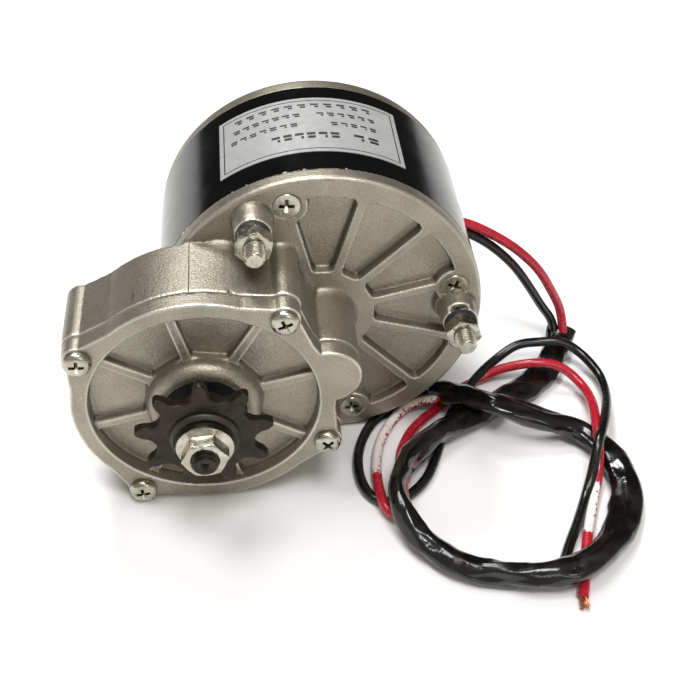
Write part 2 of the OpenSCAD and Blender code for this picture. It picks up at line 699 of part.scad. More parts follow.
motor_can();
rear_cover();
front_casting();
gear_case_cover();
cover_gasket();
nameplate();
magnet_1();
magnet_2();
magnet_3();
magnet_4();
armature_shaft();
armature_core();
armature_windings();
commutator();
motor_front_bearing_outer();
motor_front_bearing_inner();
motor_rear_bearing_outer();
motor_rear_bearing_inner();
output_front_bearing_outer();
output_front_bearing_inner();
output_rear_bearing_outer();
output_rear_bearing_inner();
bearing_balls();
wave_washer();
brush_plate();
brush_holders();
brushes();
brush_springs();
output_gear();
output_shaft();
gear_key();
gear_circlip();
oil_seal();
sprocket();
sprocket_washer();
sprocket_nut();
cover_screws();
end_screws();
mounting_studs();
stud_washers();
stud_nuts();
cable_grommet();
cable_sleeve();
red_lead();
black_lead();
red_lead_strands();
black_lead_strands();
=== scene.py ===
"""Looks of a brushed gear motor: castings, turned steel parts, threads and looped leads.

Shapes are worked out in millimetres in the motor's own layout: x runs from the gear
case towards the motor, y is up across the front face and z runs along the shafts
towards the sprocket. to_row() turns that layout into the frame of the CAD model.
"""
import json
import math

import bmesh
import bpy
import numpy as np
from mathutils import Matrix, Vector, noise


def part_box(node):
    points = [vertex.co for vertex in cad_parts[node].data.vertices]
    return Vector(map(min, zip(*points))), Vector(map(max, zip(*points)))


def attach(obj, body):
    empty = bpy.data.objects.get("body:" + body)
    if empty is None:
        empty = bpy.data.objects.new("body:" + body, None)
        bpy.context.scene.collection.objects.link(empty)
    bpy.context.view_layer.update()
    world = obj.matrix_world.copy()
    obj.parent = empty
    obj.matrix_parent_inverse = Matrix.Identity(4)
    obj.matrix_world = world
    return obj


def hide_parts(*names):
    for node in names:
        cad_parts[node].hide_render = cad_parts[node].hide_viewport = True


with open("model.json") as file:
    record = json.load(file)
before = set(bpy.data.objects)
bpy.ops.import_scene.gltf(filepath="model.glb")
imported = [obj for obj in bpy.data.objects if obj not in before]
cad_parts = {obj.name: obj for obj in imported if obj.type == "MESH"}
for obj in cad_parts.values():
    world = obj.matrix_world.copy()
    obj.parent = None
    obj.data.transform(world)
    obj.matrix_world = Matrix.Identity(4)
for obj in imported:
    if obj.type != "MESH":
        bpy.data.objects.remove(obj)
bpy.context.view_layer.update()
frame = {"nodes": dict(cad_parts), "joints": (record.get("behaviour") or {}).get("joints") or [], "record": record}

# ---------- Places, from the frame ----------

MM = 0.001
RECORD = frame["record"]
NODES = frame["nodes"]
BODY_OF = {n: body for body, nodes in RECORD["behaviour"]["bodies"].items() for n in nodes}
SLOT_OF = {s["node"]: s["material_slot"] for s in RECORD["subparts"]}
MOUNTS = {m["name"]: Vector(m["pos_m"]) for m in RECORD["mounts"]}
OUTPUT_AT = Vector(next(j["pos_m"] for j in frame["joints"] if j["name"] == "output_spin"))
CENTRES = OUTPUT_AT.length / MM
TILT = math.atan2(-OUTPUT_AT.z, -OUTPUT_AT.x)
STANCE = np.array([[math.cos(TILT), -math.sin(TILT), 0.0], [0.0, 0.0, -1.0],
                   [math.sin(TILT), math.cos(TILT), 0.0]])
CAN_LOW, CAN_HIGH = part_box("motor_can")
CAN_R = (CAN_HIGH.z - CAN_LOW.z) / 2 / MM
TABLE = -CAN_R
OUTPUT = (-CENTRES, 0.0)


def front_of(node):
    """Local z of the end of a node nearest the sprocket."""
    return -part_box(node)[0].y / MM


def back_of(node):
    """Local z of the end of a node furthest from the sprocket."""
    return -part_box(node)[1].y / MM


def local_xy(place):
    """Local x and y of a point of the row frame given in metres."""
    x, y, _ = np.array(place) @ STANCE / MM
    return float(x), float(y)


def polar(r, degrees, centre=(0.0, 0.0)):
    a = math.radians(degrees)
    return centre[0] + r * math.cos(a), centre[1] + r * math.sin(a)


# ---------- Camera ----------

camera = bpy.data.objects.new("camera", bpy.data.cameras.new("camera"))
camera.data.sensor_width = 36.0
camera.data.lens = 59.15
camera.data.clip_start = 0.01
camera.location = (-0.03105, -0.27472, 0.23010)
camera.rotation_euler = [math.radians(a) for a in (48.473, -3.289, -5.539)]
bpy.context.scene.collection.objects.link(camera)
bpy.context.scene.camera = camera


# ---------- Mesh helpers ----------

def to_row(points):
    """Millimetres of the local layout to metres of the row frame."""
    return np.asarray(points, float) @ STANCE.T * MM


def join_shells(shells):
    """One list of points and one of faces from several (points, faces)."""
    points, faces, base = [], [], 0
    for p, f in shells:
        points.append(np.asarray(p, float))
        faces += [[i + base for i in face] for face in f]
        base += len(p)
    return np.vstack(points), faces


def new_object(name, points, faces, sharp=35.0):
    """A smooth-shaded mesh object whose edges over an angle stay sharp. Points are in metres."""
    mesh = bpy.data.meshes.new(name)
    mesh.from_pydata([tuple(p) for p in points], [], faces)
    mesh.validate()
    shell = bmesh.new()
    shell.from_mesh(mesh)
    bmesh.ops.recalc_face_normals(shell, faces=shell.faces)
    shell.to_mesh(mesh)
    shell.free()
    mesh.shade_smooth()
    mesh.set_sharp_from_angle(angle=math.radians(sharp))
    piece = bpy.data.objects.new(name, mesh)
    bpy.context.scene.collection.objects.link(piece)
    return piece


def stand_for(piece, paint, *nodes):
    """Gives a piece its material, and lets it ride and stand for its CAD nodes."""
    piece.data.materials.clear()
    piece.data.materials.append(paint)
    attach(piece, BODY_OF[nodes[0]])
    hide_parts(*nodes)
    return piece


def baked(piece):
    """The piece with its modifiers worked into its mesh."""
    graph = bpy.context.evaluated_depsgraph_get()
    mesh = bpy.data.meshes.new_from_object(piece.evaluated_get(graph))
    piece.modifiers.clear()
    piece.data = mesh
    return piece


def skin(rings, looped=False):
    """A closed skin over rings of equal length: capped at both ends, or looped on itself."""
    count, sides = len(rings), len(rings[0])
    spans = [(i, (i + 1) % count) for i in range(count if looped else count - 1)]
    faces = [[a * sides + k, a * sides + (k + 1) % sides, b * sides + (k + 1) % sides,
              b * sides + k] for a, b in spans for k in range(sides)]
    if not looped:
        faces.append(list(range(sides))[::-1])
        faces.append([(count - 1) * sides + k for k in range(sides)])
    return np.vstack(rings), faces


RING_SIDES = 96


def circle_at(radius, z, centre, sides=RING_SIDES):
    """One ring of points. radius is a number, or an array with one number for each point."""
    a = np.arange(sides) * 2 * math.pi / sides
    r = np.broadcast_to(np.asarray(radius, float), (sides,))
    return np.stack([centre[0] + r * np.cos(a), centre[1] + r * np.sin(a),
                     np.full(sides, float(z))], axis=1)


def hexagon(across, turn):
    """Radius of a hexagon in the direction of each point of a ring."""
    a = np.degrees(np.arange(RING_SIDES) * 2 * math.pi / RING_SIDES) - turn
    return across / 2 / np.cos(np.radians(a % 60 - 30))


def rounded(points, radius):
    """The corners of an (r, z) outline rounded off, the outline being a closed loop."""
    p = np.asarray(points, float)
    out = []
    for before, here, after in zip(np.roll(p, 1, 0), p, np.roll(p, -1, 0)):
        a = here + (before - here) * min(0.45, radius / np.linalg.norm(before - here))
        b = here + (after - here) * min(0.45, radius / np.linalg.norm(after - here))
        for t in np.linspace(0, 1, 4):
            out.append((1 - t) ** 2 * a + 2 * t * (1 - t) * here + t * t * b)
    return out


def turned(outline, centre):
    """A ring-shaped part turned from a closed outline of (r, z)."""
    return skin([circle_at(r, z, centre) for r, z in outline], looped=True)


# Depth of a thread as a share of its pitch, and the chamfer at the end of a rod
THREAD_DEPTH, ROD_CHAMFER = 0.58, 0.8


def threaded(radius, pitch, low, high, centre, drill=None):
    """A right-hand threaded rod with a chamfered tip, and a centre drilling if asked."""
    sides, steps = 64, 14
    depth = THREAD_DEPTH * pitch
    along = np.arange(sides) / sides
    rings = []
    for z in np.linspace(low, high, int((high - low) / pitch * steps)):
        wave = np.abs(2 * ((z / pitch - along) % 1.0) - 1)
        r = radius - depth * np.clip(1.3 * wave - 0.15, 0, 1)
        rings.append(circle_at(np.minimum(r, radius - ROD_CHAMFER + (high - z)), z, centre, sides))
    if drill:
        rings.append(circle_at(drill, high, centre, sides))
        rings.append(circle_at(0.3 * drill, high - drill, centre, sides))
    return skin(rings)


def absorb(piece, added):
    """Joins one object into another."""
    with bpy.context.temp_override(active_object=piece, selected_editable_objects=[piece, added]):
        bpy.ops.object.join()


def welded_mesh(node):
    """A copy of a CAD node's mesh with its doubled points merged."""
    source = bmesh.new()
    source.from_mesh(NODES[node].data)
    bmesh.ops.remove_doubles(source, verts=source.verts, dist=1e-6)
    mesh = bpy.data.meshes.new(node)
    source.to_mesh(mesh)
    source.free()
    return mesh


def vertex_rows(mesh, key):
    """A vector property of the points of a mesh, one row for each point."""
    values = np.zeros(len(mesh.vertices) * 3)
    mesh.vertices.foreach_get(key, values)
    return values.reshape(-1, 3)


def cut(piece, cutter):
    """Cuts one object out of another and removes the cutter."""
    step = piece.modifiers.new("cut", "BOOLEAN")
    step.operation, step.solver, step.object = "DIFFERENCE", "EXACT", cutter
    step.use_self = True
    baked(piece)
    bpy.data.objects.remove(cutter)
    return piece


def cross_cutter(places, size, top, depth, turns):
    """A tapered cross for each (x, y), as a driver leaves it in a screw head."""
    shells = []
    for (x, y), turn in zip(places, turns):
        for quarter in (0, 90):
            a = math.radians(turn + quarter)
            along = np.array([math.cos(a), math.sin(a)])
            across = np.array([-math.sin(a), math.cos(a)])
            rings = []
            for z, long, wide in ((top - depth, 0.35, 0.16), (top - 0.3 * depth, 0.85, 0.2),
                                  (top + 1, 1.15, 0.26)):
                corners = [(long, wide), (-long, wide), (-long, -wide), (long, -wide)]
                rings.append(np.array([[*(np.array([x, y]) + size * (u * along + v * across)), z]
                                       for u, v in corners]))
            shells.append(skin(rings))
    return shells


# ---------- Paint: procedural materials ----------

class Paint:
    """A material made of a Principled shader and the procedural nodes before it."""

    def __init__(self, name, **fixed):
        self.material = bpy.data.materials.new(name)
        self.material.use_nodes = True
        self.tree = self.material.node_tree
        self.shader = self.tree.nodes["Principled BSDF"]
        for key, value in fixed.items():
            self.shader.inputs[key.replace("_", " ")].default_value = value
        self.height = None
        place = self.tree.nodes.new("ShaderNodeTexCoord")
        self.place = place.outputs["Object"]

    def add(self, kind, result, **inputs):
        """A node, its inputs set to numbers or joined to sockets, and its output socket."""
        node = self.tree.nodes.new("ShaderNode" + kind)
        for key, value in inputs.items():
            if hasattr(node, key) and key.islower():
                setattr(node, key, value)
                continue
            number = key.lstrip("i")
            socket = node.inputs[int(number)] if number.isdigit() else node.inputs[key.replace("_", " ")]
            if isinstance(value, bpy.types.NodeSocket):
                self.tree.links.new(value, socket)
            else:
                socket.default_value = value
        return node.outputs[result]

    def noise(self, grain_mm, detail=3.0, distortion=0.0, at=None):
        """Cloudy noise whose lumps are about grain_mm across."""
        return self.add("TexNoise", "Fac", Vector=at or self.place, Scale=1 / (grain_mm * MM),
                        Detail=detail, Distortion=distortion)

    def cells(self, grain_mm):
        return self.add("TexVoronoi", "Distance", Vector=self.place, Scale=1 / (grain_mm * MM))

    def stretched(self, x, y, z):
        """Object coordinates scaled along each axis."""
        return self.add("Mapping", "Vector", Vector=self.place, Scale=(x, y, z))

    def attribute(self, name):
        node = self.tree.nodes.new("ShaderNodeAttribute")
        node.attribute_name = name
        return node.outputs["Fac"]

    def sum(self, operation, a, b=0.0, c=0.0):
        return self.add("Math", "Value", operation=operation, i0=a, i1=b, i2=c)

    def between(self, value, low, high, to_low=0.0, to_high=1.0):
        return self.add("MapRange", "Result", Value=value, From_Min=low, From_Max=high,
                        To_Min=to_low, To_Max=to_high)

    def blend(self, share, a, b):
        """Colour a where share is 0 and b where it is 1."""
        node = self.tree.nodes.new("ShaderNodeMix")
        node.data_type = "RGBA"
        for socket, value in ((node.inputs[0], share), (node.inputs[6], a), (node.inputs[7], b)):
            if isinstance(value, bpy.types.NodeSocket):
                self.tree.links.new(value, socket)
            else:
                socket.default_value = (*value, 1.0) if isinstance(value, tuple) else value
        return node.outputs[2]

    def bump(self, height, depth_mm, strength=1.0):
        """Adds relief depth_mm deep to what is there."""
        node = self.tree.nodes.new("ShaderNodeBump")
        node.inputs["Strength"].default_value = strength
        node.inputs["Distance"].default_value = depth_mm * MM
        self.tree.links.new(height, node.inputs["Height"])
        if self.height:
            self.tree.links.new(self.height, node.inputs["Normal"])
        self.height = node.outputs["Normal"]

    def done(self, colour, roughness):
        for value, key in ((colour, "Base Color"), (roughness, "Roughness"), (self.height, "Normal")):
            if value is not None:
                self.tree.links.new(value, self.shader.inputs[key])
        return self.material


def cast_aluminium():
    """Silver-painted sand-grained casting, lighter on convex edges (partly worn paint, partly painted highlight),
    with painted shade in hollows and dents.
    """
    p = Paint("cast_aluminium", Metallic=0.82)
    edge = p.attribute("edge")
    cloud = p.noise(14, 4)
    grain = p.noise(0.55, 3)
    fleck = p.cells(0.5)
    colour = p.blend(p.between(cloud, 0.35, 0.65), (0.30, 0.272, 0.213), (0.37, 0.339, 0.275))
    colour = p.blend(p.between(grain, 0.54, 0.34, 0.0, 0.4), colour, (0.14, 0.125, 0.095))
    colour = p.blend(p.between(fleck, 0.26, 0.10, 0.0, 0.35), colour, (0.85, 0.82, 0.74))
    # Lighter on convex edges: partly worn paint, partly painted highlight.
    colour = p.blend(p.between(edge, 0.12, 0.5, 0.0, 0.75), colour, (0.78, 0.75, 0.66))
    # Painted shade: darker in concave hollows and corners.
    colour = p.blend(p.between(edge, -0.10, -0.45, 0.0, 0.8), colour, (0.06, 0.052, 0.038))
    # Painted shade inside the dents.
    colour = p.blend(p.attribute("dent_shade"), colour, (0.02, 0.018, 0.015))
    rough = p.sum("ADD", p.between(grain, 0.3, 0.7, 0.34, 0.46), p.between(edge, 0.1, 0.5, 0.0, -0.08))
    p.bump(p.noise(2.6, 3), 0.12, 0.5)
    p.bump(grain, 0.15, 0.9)
    return p.done(colour, rough)


def can_paint():
    """Gloss black enamel with orange peel and a few chips at the rim of the can."""
    p = Paint("can_paint", Coat_Weight=0.08, Coat_Roughness=0.05, Specular_IOR_Level=0.3)
    back = p.add("SeparateXYZ", "Y", Vector=p.place)
    rim_at, rim_wide = 5.1, 3.2
    rim = p.between(back, (rim_at + rim_wide) * MM, rim_at * MM)
    chip = p.sum("GREATER_THAN", p.sum("MULTIPLY", p.noise(1.1, 1), rim), 0.66)
    colour = p.blend(p.noise(20, 3), (0.002, 0.002, 0.002), (0.004, 0.004, 0.004))
    colour = p.blend(chip, colour, (0.72, 0.71, 0.68))
    rough = p.between(p.noise(9, 4), 0.3, 0.75, 0.12, 0.22)
    p.bump(p.noise(2.2, 2), 0.015, 0.3)
    return p.done(colour, rough)


def plain_metal(name, dark, light, roughness, grain_mm=1.2, relief_mm=0.02):
    """Bare or plated metal with drifting tone, fine scratches and spotted shine."""
    p = Paint(name, Metallic=1.0)
    scratch = p.noise(0.5, 2, at=p.stretched(1, 9, 1))
    colour = p.blend(p.between(p.noise(3.5, 4), 0.3, 0.7), dark, light)
    colour = p.blend(p.between(scratch, 0.58, 0.75, 0.0, 0.3), colour, tuple(0.45 * c for c in dark))
    rough = p.between(p.noise(grain_mm, 3), 0.3, 0.7, roughness * 0.75, roughness * 1.35)
    p.bump(scratch, relief_mm, 0.5)
    return p.done(colour, rough)


def zinc_plate():
    """Bright yellowish zinc plating, darkened with painted shade in its recesses and thread roots."""
    p = Paint("zinc", Metallic=1.0)
    colour = p.blend(p.between(p.noise(5, 3), 0.35, 0.65), (0.40, 0.385, 0.30), (0.55, 0.54, 0.46))
    colour = p.blend(p.between(p.noise(0.9, 3), 0.55, 0.72, 0.0, 0.5), colour, (0.20, 0.185, 0.13))
    # Painted shade in recesses and thread roots.
    colour = p.blend(p.attribute("recess_shade"), colour, (0.045, 0.038, 0.026))
    rough = p.between(p.noise(1.6, 3), 0.3, 0.7, 0.20, 0.34)
    p.bump(p.noise(2.5, 2), 0.02, 0.25)
    return p.done(colour, rough)


def dark_steel():
    """Oxide-black steel with brown bloom, lighter on convex edges (partly bare worn steel, partly painted
    highlight), with painted shade in thread roots.
    """
    p = Paint("dark_steel", Metallic=0.85)
    bloom = p.noise(5.5, 5, 0.6)
    colour = p.blend(p.between(bloom, 0.35, 0.68), (0.023, 0.020, 0.016), (0.045, 0.036, 0.026))
    # Lighter on convex edges: partly bare worn steel, partly painted highlight.
    colour = p.blend(p.between(p.attribute("edge"), 0.12, 0.6, 0.0, 0.8), colour, (0.34, 0.31, 0.28))
    # Painted shade in thread roots.
    colour = p.blend(p.attribute("recess_shade"), colour, (0.010, 0.008, 0.007))
    rough = p.between(p.noise(0.8, 3), 0.3, 0.7, 0.34, 0.52)
    p.bump(p.noise(0.35, 3), 0.02, 0.5)
    return p.done(colour, rough)


def moulded(name, dark, light, roughness, grain_mm, relief_mm, **fixed):
    """Rubber, plastic, board or paper: one tone drifting into another over a fine grain."""
    p = Paint(name, **fixed)
    colour = p.blend(p.between(p.noise(6 * grain_mm, 4), 0.3, 0.7), dark, light)
    rough = p.between(p.noise(2 * grain_mm, 3), 0.3, 0.7, roughness * 0.8, roughness * 1.2)
    p.bump(p.noise(grain_mm, 3), relief_mm, 0.6)
    return p.done(colour, rough)


def sleeve_plastic():
    """Thin shiny black vinyl with fine stretch lines and a little dust."""
    p = Paint("sleeve_plastic", Coat_Weight=0.15, Coat_Roughness=0.1, Specular_IOR_Level=0.5)
    dust = p.noise(7, 4, 0.5)
    colour = p.blend(p.between(dust, 0.5, 0.8, 0.0, 0.7), (0.004, 0.0035, 0.003), (0.026, 0.022, 0.017))
    rough = p.between(dust, 0.35, 0.75, 0.10, 0.30)
    p.bump(p.noise(3.2, 2, 0.8), 0.22, 0.5)
    p.bump(p.noise(1.3, 2, 0.6), 0.07, 0.4)
    return p.done(colour, rough)


def insulation(name, dark, light, bare):
    """Glossy lead insulation, with worn patches where the attribute "worn" says."""
    p = Paint(name, Coat_Weight=0.12, Coat_Roughness=0.1)
    colour = p.blend(p.between(p.noise(6, 4), 0.3, 0.7), dark, light)
    ragged = p.sum("ADD", p.attribute("worn"), p.between(p.noise(1.3, 4, 0.8), 0.3, 0.7, -0.45, 0.45))
    patch = p.between(ragged, 0.5, 0.62)
    colour = p.blend(patch, colour, bare)
    rough = p.sum("ADD", p.between(p.noise(2, 3), 0.3, 0.7, 0.18, 0.32),
                  p.sum("MULTIPLY", patch, 0.2))
    p.bump(p.noise(0.6, 2), 0.02, 0.4)
    return p.done(colour, rough)


def floor_paint():
    p = Paint("floor_paint", Specular_IOR_Level=0.25)
    colour = p.blend(p.noise(40, 2), (0.86, 0.86, 0.86), (0.90, 0.90, 0.90))
    p.bump(p.noise(1.5, 2), 0.02, 0.2)
    return p.done(colour, p.between(p.noise(25, 2), 0.3, 0.7, 0.55, 0.65))


PAINT = {
    "can_paint": can_paint(),
    "cast_aluminium": cast_aluminium(),
    "gasket": moulded("gasket", (0.15, 0.14, 0.12), (0.21, 0.195, 0.165), 0.8, 0.5, 0.03),
    "nameplate": moulded("nameplate", (0.40, 0.412, 0.405), (0.455, 0.463, 0.455), 0.32, 1.5, 0.004,
                         Metallic=0.25),
    "ferrite": moulded("ferrite", (0.05, 0.05, 0.052), (0.09, 0.09, 0.092), 0.5, 0.4, 0.02),
    "steel": plain_metal("steel", (0.50, 0.51, 0.53), (0.66, 0.67, 0.69), 0.28),
    "core_steel": plain_metal("core_steel", (0.20, 0.20, 0.21), (0.34, 0.34, 0.35), 0.42),
    "copper": plain_metal("copper", (0.50, 0.20, 0.10), (0.82, 0.42, 0.26), 0.36, 0.5, 0.03),
    "phenolic": moulded("phenolic", (0.16, 0.08, 0.035), (0.26, 0.14, 0.06), 0.5, 0.6, 0.02),
    "brass": plain_metal("brass", (0.62, 0.44, 0.16), (0.80, 0.62, 0.28), 0.30),
    "carbon": moulded("carbon", (0.02, 0.02, 0.021), (0.045, 0.045, 0.047), 0.5, 0.3, 0.02),
    "dark_steel": dark_steel(),
    "rubber_black": moulded("rubber_black", (0.010, 0.010, 0.010), (0.022, 0.021, 0.020), 0.55, 0.5, 0.03),
    "zinc": zinc_plate(),
    "sleeve_plastic": sleeve_plastic(),
    "red_insulation": insulation("red_insulation", (0.34, 0.008, 0.020), (0.48, 0.014, 0.030),
                                 (0.84, 0.76, 0.73)),
    "black_insulation": insulation("black_insulation", (0.002, 0.002, 0.002), (0.005, 0.005, 0.005),
                                   (0.02, 0.02, 0.02)),
}
for node_name, cad_piece in NODES.items():
    cad_piece.data.materials.clear()
    cad_piece.data.materials.append(PAINT[SLOT_OF[node_name]])


# ---------- Leads and sleeve ----------

SLEEVE_R, LEAD_R = 4.0, 1.7
# Half width plus half height of the pressed sleeve, and its least half height
SLEEVE_SPAN, SLEEVE_FLATTEST = 7.8, 2.9
# Route points: x, y and height above the table
SLEEVE_ROUTE = [(95.5, 43, 6.5), (92.5, 36, 4.5), (86, 24.5, 4), (75, 13.5, 4),
                (61, 4.5, 4.5), (46, -6.5, 6.5), (33, -17, 7.5), (25, -30, 8.8), (22.5, -41, 10),
                (27, -52.5, 6), (37, -62, 4), (50, -67.5, 4), (66, -70, 6.4), (80, -65, 7.4),
                (92, -51.5, 4.8), (99, -36, 4), (98.5, -20.5, 4), (89.5, -9.5, 5), (75, -7, 9),
                (61, -3.5, 12.6), (50, 5, 9.8), (41, 10, 7.5)]
# Half width of the flattened sleeve at each of its route points
SLEEVE_WIDE = [4.9, 4.8, 5.0, 5.1, 4.7, 4.1, 3.5, 3.2, 3.1, 3.4, 3.6, 3.8, 4.0, 4.4, 4.9, 5.1, 4.8, 4.4,
               4.1, 4.2, 4.5, 4.7]
RED_FEED = [(47, 44, 53.9), (52.5, 44, 53.8), (62, 44, 49.2), (72.5, 44, 42.2),
            (82, 44, 33), (89, 44, 22.5), (94, 44.2, 13), (96.5, 43.8, 7.5)]
RED_TAIL = [(41, 8.5, 6.5), (34, 7, 3.5), (26.5, 1, 1.8), (21, -9, 1.8),
            (18.5, -19.5, 1.8), (18, -30, 3), (18.5, -38.5, 4.5), (21, -42.5, 3), (24, -40.5, 3.5),
            (25.5, -34, 4.4), (26, -24.5, 2.5), (27.5, -14, 1.8), (33, -3.5, 1.8), (42, 5.5, 1.8),
            (51, 14.5, 1.8), (59, 19.5, 1.8), (68, 21.5, 5.5), (79.5, 20, 9.5), (88.5, 19, 8.5),
            (95.5, 13.5, 5), (96, 2, 7.5), (94, -10, 9.6), (92.5, -19.5, 9.5), (91.5, -27, 5),
            (88.5, -35.5, 1.8), (83.5, -48, 1.8), (79.5, -59.5, 1.8), (76.5, -70, 1.8),
            (74.5, -75.5, 1.8)]
BLACK_FEED = [(47, 44, 50.6), (52.5, 44, 50.2), (62.5, 44, 44.4), (72.5, 44, 35.2),
              (80, 44, 25.2), (86.5, 44, 15.5), (91, 44, 9.5), (94.3, 43.3, 6.8)]
BLACK_TAIL = [(41, 11.5, 8), (35, 9.5, 4.5), (27.5, 6.5, 2.2), (20.5, 1.5, 1.8),
              (15, -8, 1.8), (12.5, -18, 1.8), (13, -27.5, 1.8), (16, -34, 1.8), (21.5, -36, 1.8),
              (28, -33, 1.8), (34.5, -26, 1.8), (39, -16.5, 1.8), (43, -6.5, 1.8), (47, 2.5, 1.8),
              (53, 11.5, 3), (60, 20, 4.6), (67.5, 27, 5.5), (75.5, 31, 8.5), (84, 31.5, 9.2),
              (91, 31, 9.8), (98, 28.5, 7), (103.5, 20, 4.5), (103.5, 10, 5), (100.5, -1, 8),
              (95.5, -13.5, 11.5), (91, -22.5, 12.6), (88.5, -29.5, 6), (85.5, -36, 1.8),
              (80, -47, 1.8), (74.5, -57, 1.8), (70.5, -65.5, 1.8)]
RED_END = [(74.5, -75.5, 1.8), (74.3, -77.5, 1.8), (74.2, -79.5, 1.8)]
BLACK_END = [(70.5, -65.5, 1.8), (69.7, -67.5, 1.8), (69, -69.5, 1.8)]


def on_table(route):
    """Route points as millimetres of the row frame."""
    return np.array(route, float) + (0, 0, TABLE)


def flowing(points, step):
    """A smooth line through the points, with a point every step."""
    p = np.asarray(points, float)
    p = np.vstack([2 * p[0] - p[1], p, 2 * p[-1] - p[-2]])
    t = np.linspace(0, 1, 20, endpoint=False)[:, None]
    parts = [0.5 * (2 * b + (c - a) * t + (2 * a - 5 * b + 4 * c - d) * t ** 2
                    + (3 * b - a - 3 * c + d) * t ** 3)
             for a, b, c, d in zip(p[:-3], p[1:-2], p[2:-1], p[3:])]
    line = np.vstack([*parts, p[-2][None]])
    far = np.concatenate([[0], np.cumsum(np.linalg.norm(np.diff(line, axis=0), axis=1))])
    at = np.linspace(0, far[-1], int(far[-1] / step) + 1)
    return np.stack([np.interp(at, far, line[:, k]) for k in range(3)], axis=1)


def relaxed(line, rounds):
    """The line with its tight corners eased, its two ends kept."""
    line = line.copy()
    for _ in range(rounds):
        line[1:-1] = 0.25 * line[:-2] + 0.5 * line[1:-1] + 0.25 * line[2:]
    return line


def length_of(line):
    return float(np.linalg.norm(np.diff(line, axis=0), axis=1).sum())


def sides_of(line):
    """Unit vectors across a line, level with the table, and upwards from it."""
    along = np.gradient(line, axis=0)
    along /= np.linalg.norm(along, axis=1)[:, None]
    side = np.cross(along, (0.0, 0.0, 1.0))
    side /= np.linalg.norm(side, axis=1)[:, None]
    return side, np.cross(side, along)


def tube_rings(line, wide, high, sides):
    """Rings round a line. wide and high hold half widths: numbers, or one row for each ring."""
    side, up = sides_of(line)
    a = np.arange(sides) * 2 * math.pi / sides
    w = np.broadcast_to(wide, (len(line), sides)) * np.cos(a)
    h = np.broadcast_to(high, (len(line), sides)) * np.sin(a)
    return list(line[:, None] + w[..., None] * side[:, None] + h[..., None] * up[:, None])


def drift(count, step, grain, seed, rows=1):
    """Smooth noise from -1 to 1 along a line, different for each row round it."""
    out = np.zeros((count, rows))
    for i in range(count):
        for k in range(rows):
            a = 2 * math.pi * k / rows
            out[i, k] = noise.noise(Vector((i * step / grain, seed + math.cos(a), math.sin(a))))
    return out


def make_sleeve():
    """The sleeve: a limp tube pressed flat, with creases and open cut ends."""
    step, sides = 0.6, 36
    line = relaxed(flowing(on_table(SLEEVE_ROUTE), step), 20)
    count = len(line)
    far = np.cumsum([0, *np.linalg.norm(np.diff(np.array(SLEEVE_ROUTE), axis=0), axis=1)])
    wide = np.interp(np.linspace(0, far[-1], count), far, SLEEVE_WIDE)[:, None]
    wide = wide + 0.35 * drift(count, step, 25, 3.0)
    high = SLEEVE_SPAN - wide
    line[:, 2] -= SLEEVE_R - np.clip(high[:, 0], SLEEVE_FLATTEST, SLEEVE_R)
    a = np.arange(sides) * 2 * math.pi / sides
    slow = drift(count, step, 15, 9.0, sides)
    crease = -np.abs(drift(count, step, 12, 21.0, sides))
    twist = np.cos(2 * a + 7.0 * drift(count, step, 30, 40.0))
    pleat = np.cos(5 * a + 12.0 * drift(count, step, 40, 60.0)) * drift(count, step, 9, 71.0)
    dent = 0.6 * slow + 1.2 * crease + 0.35 * twist + 0.3 * pleat + 0.3
    inner = 7
    rings = tube_rings(line, wide + dent, high + dent * 0.8, sides)
    start = [line[i] + (r - line[i]) * 0.86 for i, r in enumerate(rings[:inner])]
    end = [line[i - inner] + (r - line[i - inner]) * 0.86 for i, r in enumerate(rings[-inner:])]
    points, faces = skin([*start[::-1], *rings, *end[::-1]])
    piece = new_object("cable_sleeve_vinyl", points * MM, faces, sharp=60)
    stand_for(piece, PAINT["sleeve_plastic"], "cable_sleeve")
    length_of(line) * MM
    return line


def make_lead(colour, feed, tail, sleeve_line, shift, end, worn_stretches):
    """One insulated lead, from the can through the sleeve to its bared strands."""
    side, _ = sides_of(sleeve_line)
    inside = (sleeve_line + shift * side)[8:-8:12]
    line = relaxed(flowing(np.vstack([on_table(feed)[:-1], inside, on_table(tail)[1:]]), 0.8), 14)
    tail_far = length_of(line) - np.arange(len(line)) * 0.8
    rings = tube_rings(line, LEAD_R, LEAD_R, 16)
    points, faces = skin(rings)
    piece = new_object(f"{colour}_lead_insulation", points * MM, faces, sharp=60)
    worn = np.zeros(len(line))
    for near, far in worn_stretches:
        middle, half = (near + far) / 2, (far - near) / 2
        worn = np.maximum(worn, np.clip((half - np.abs(tail_far - middle)) / 4 + 0.45, 0, 0.9))
    above = np.clip(0.75 + 0.5 * np.sin(np.arange(16) * 2 * math.pi / 16 + 0.6), 0, 1)
    field = piece.data.attributes.new("worn", "FLOAT", "POINT")
    field.data.foreach_set("value", (worn[:, None] * above).ravel())
    stand_for(piece, PAINT[f"{colour}_insulation"], f"{colour}_lead")
    strands = make_strands(colour, end)
    length_of(line) * MM


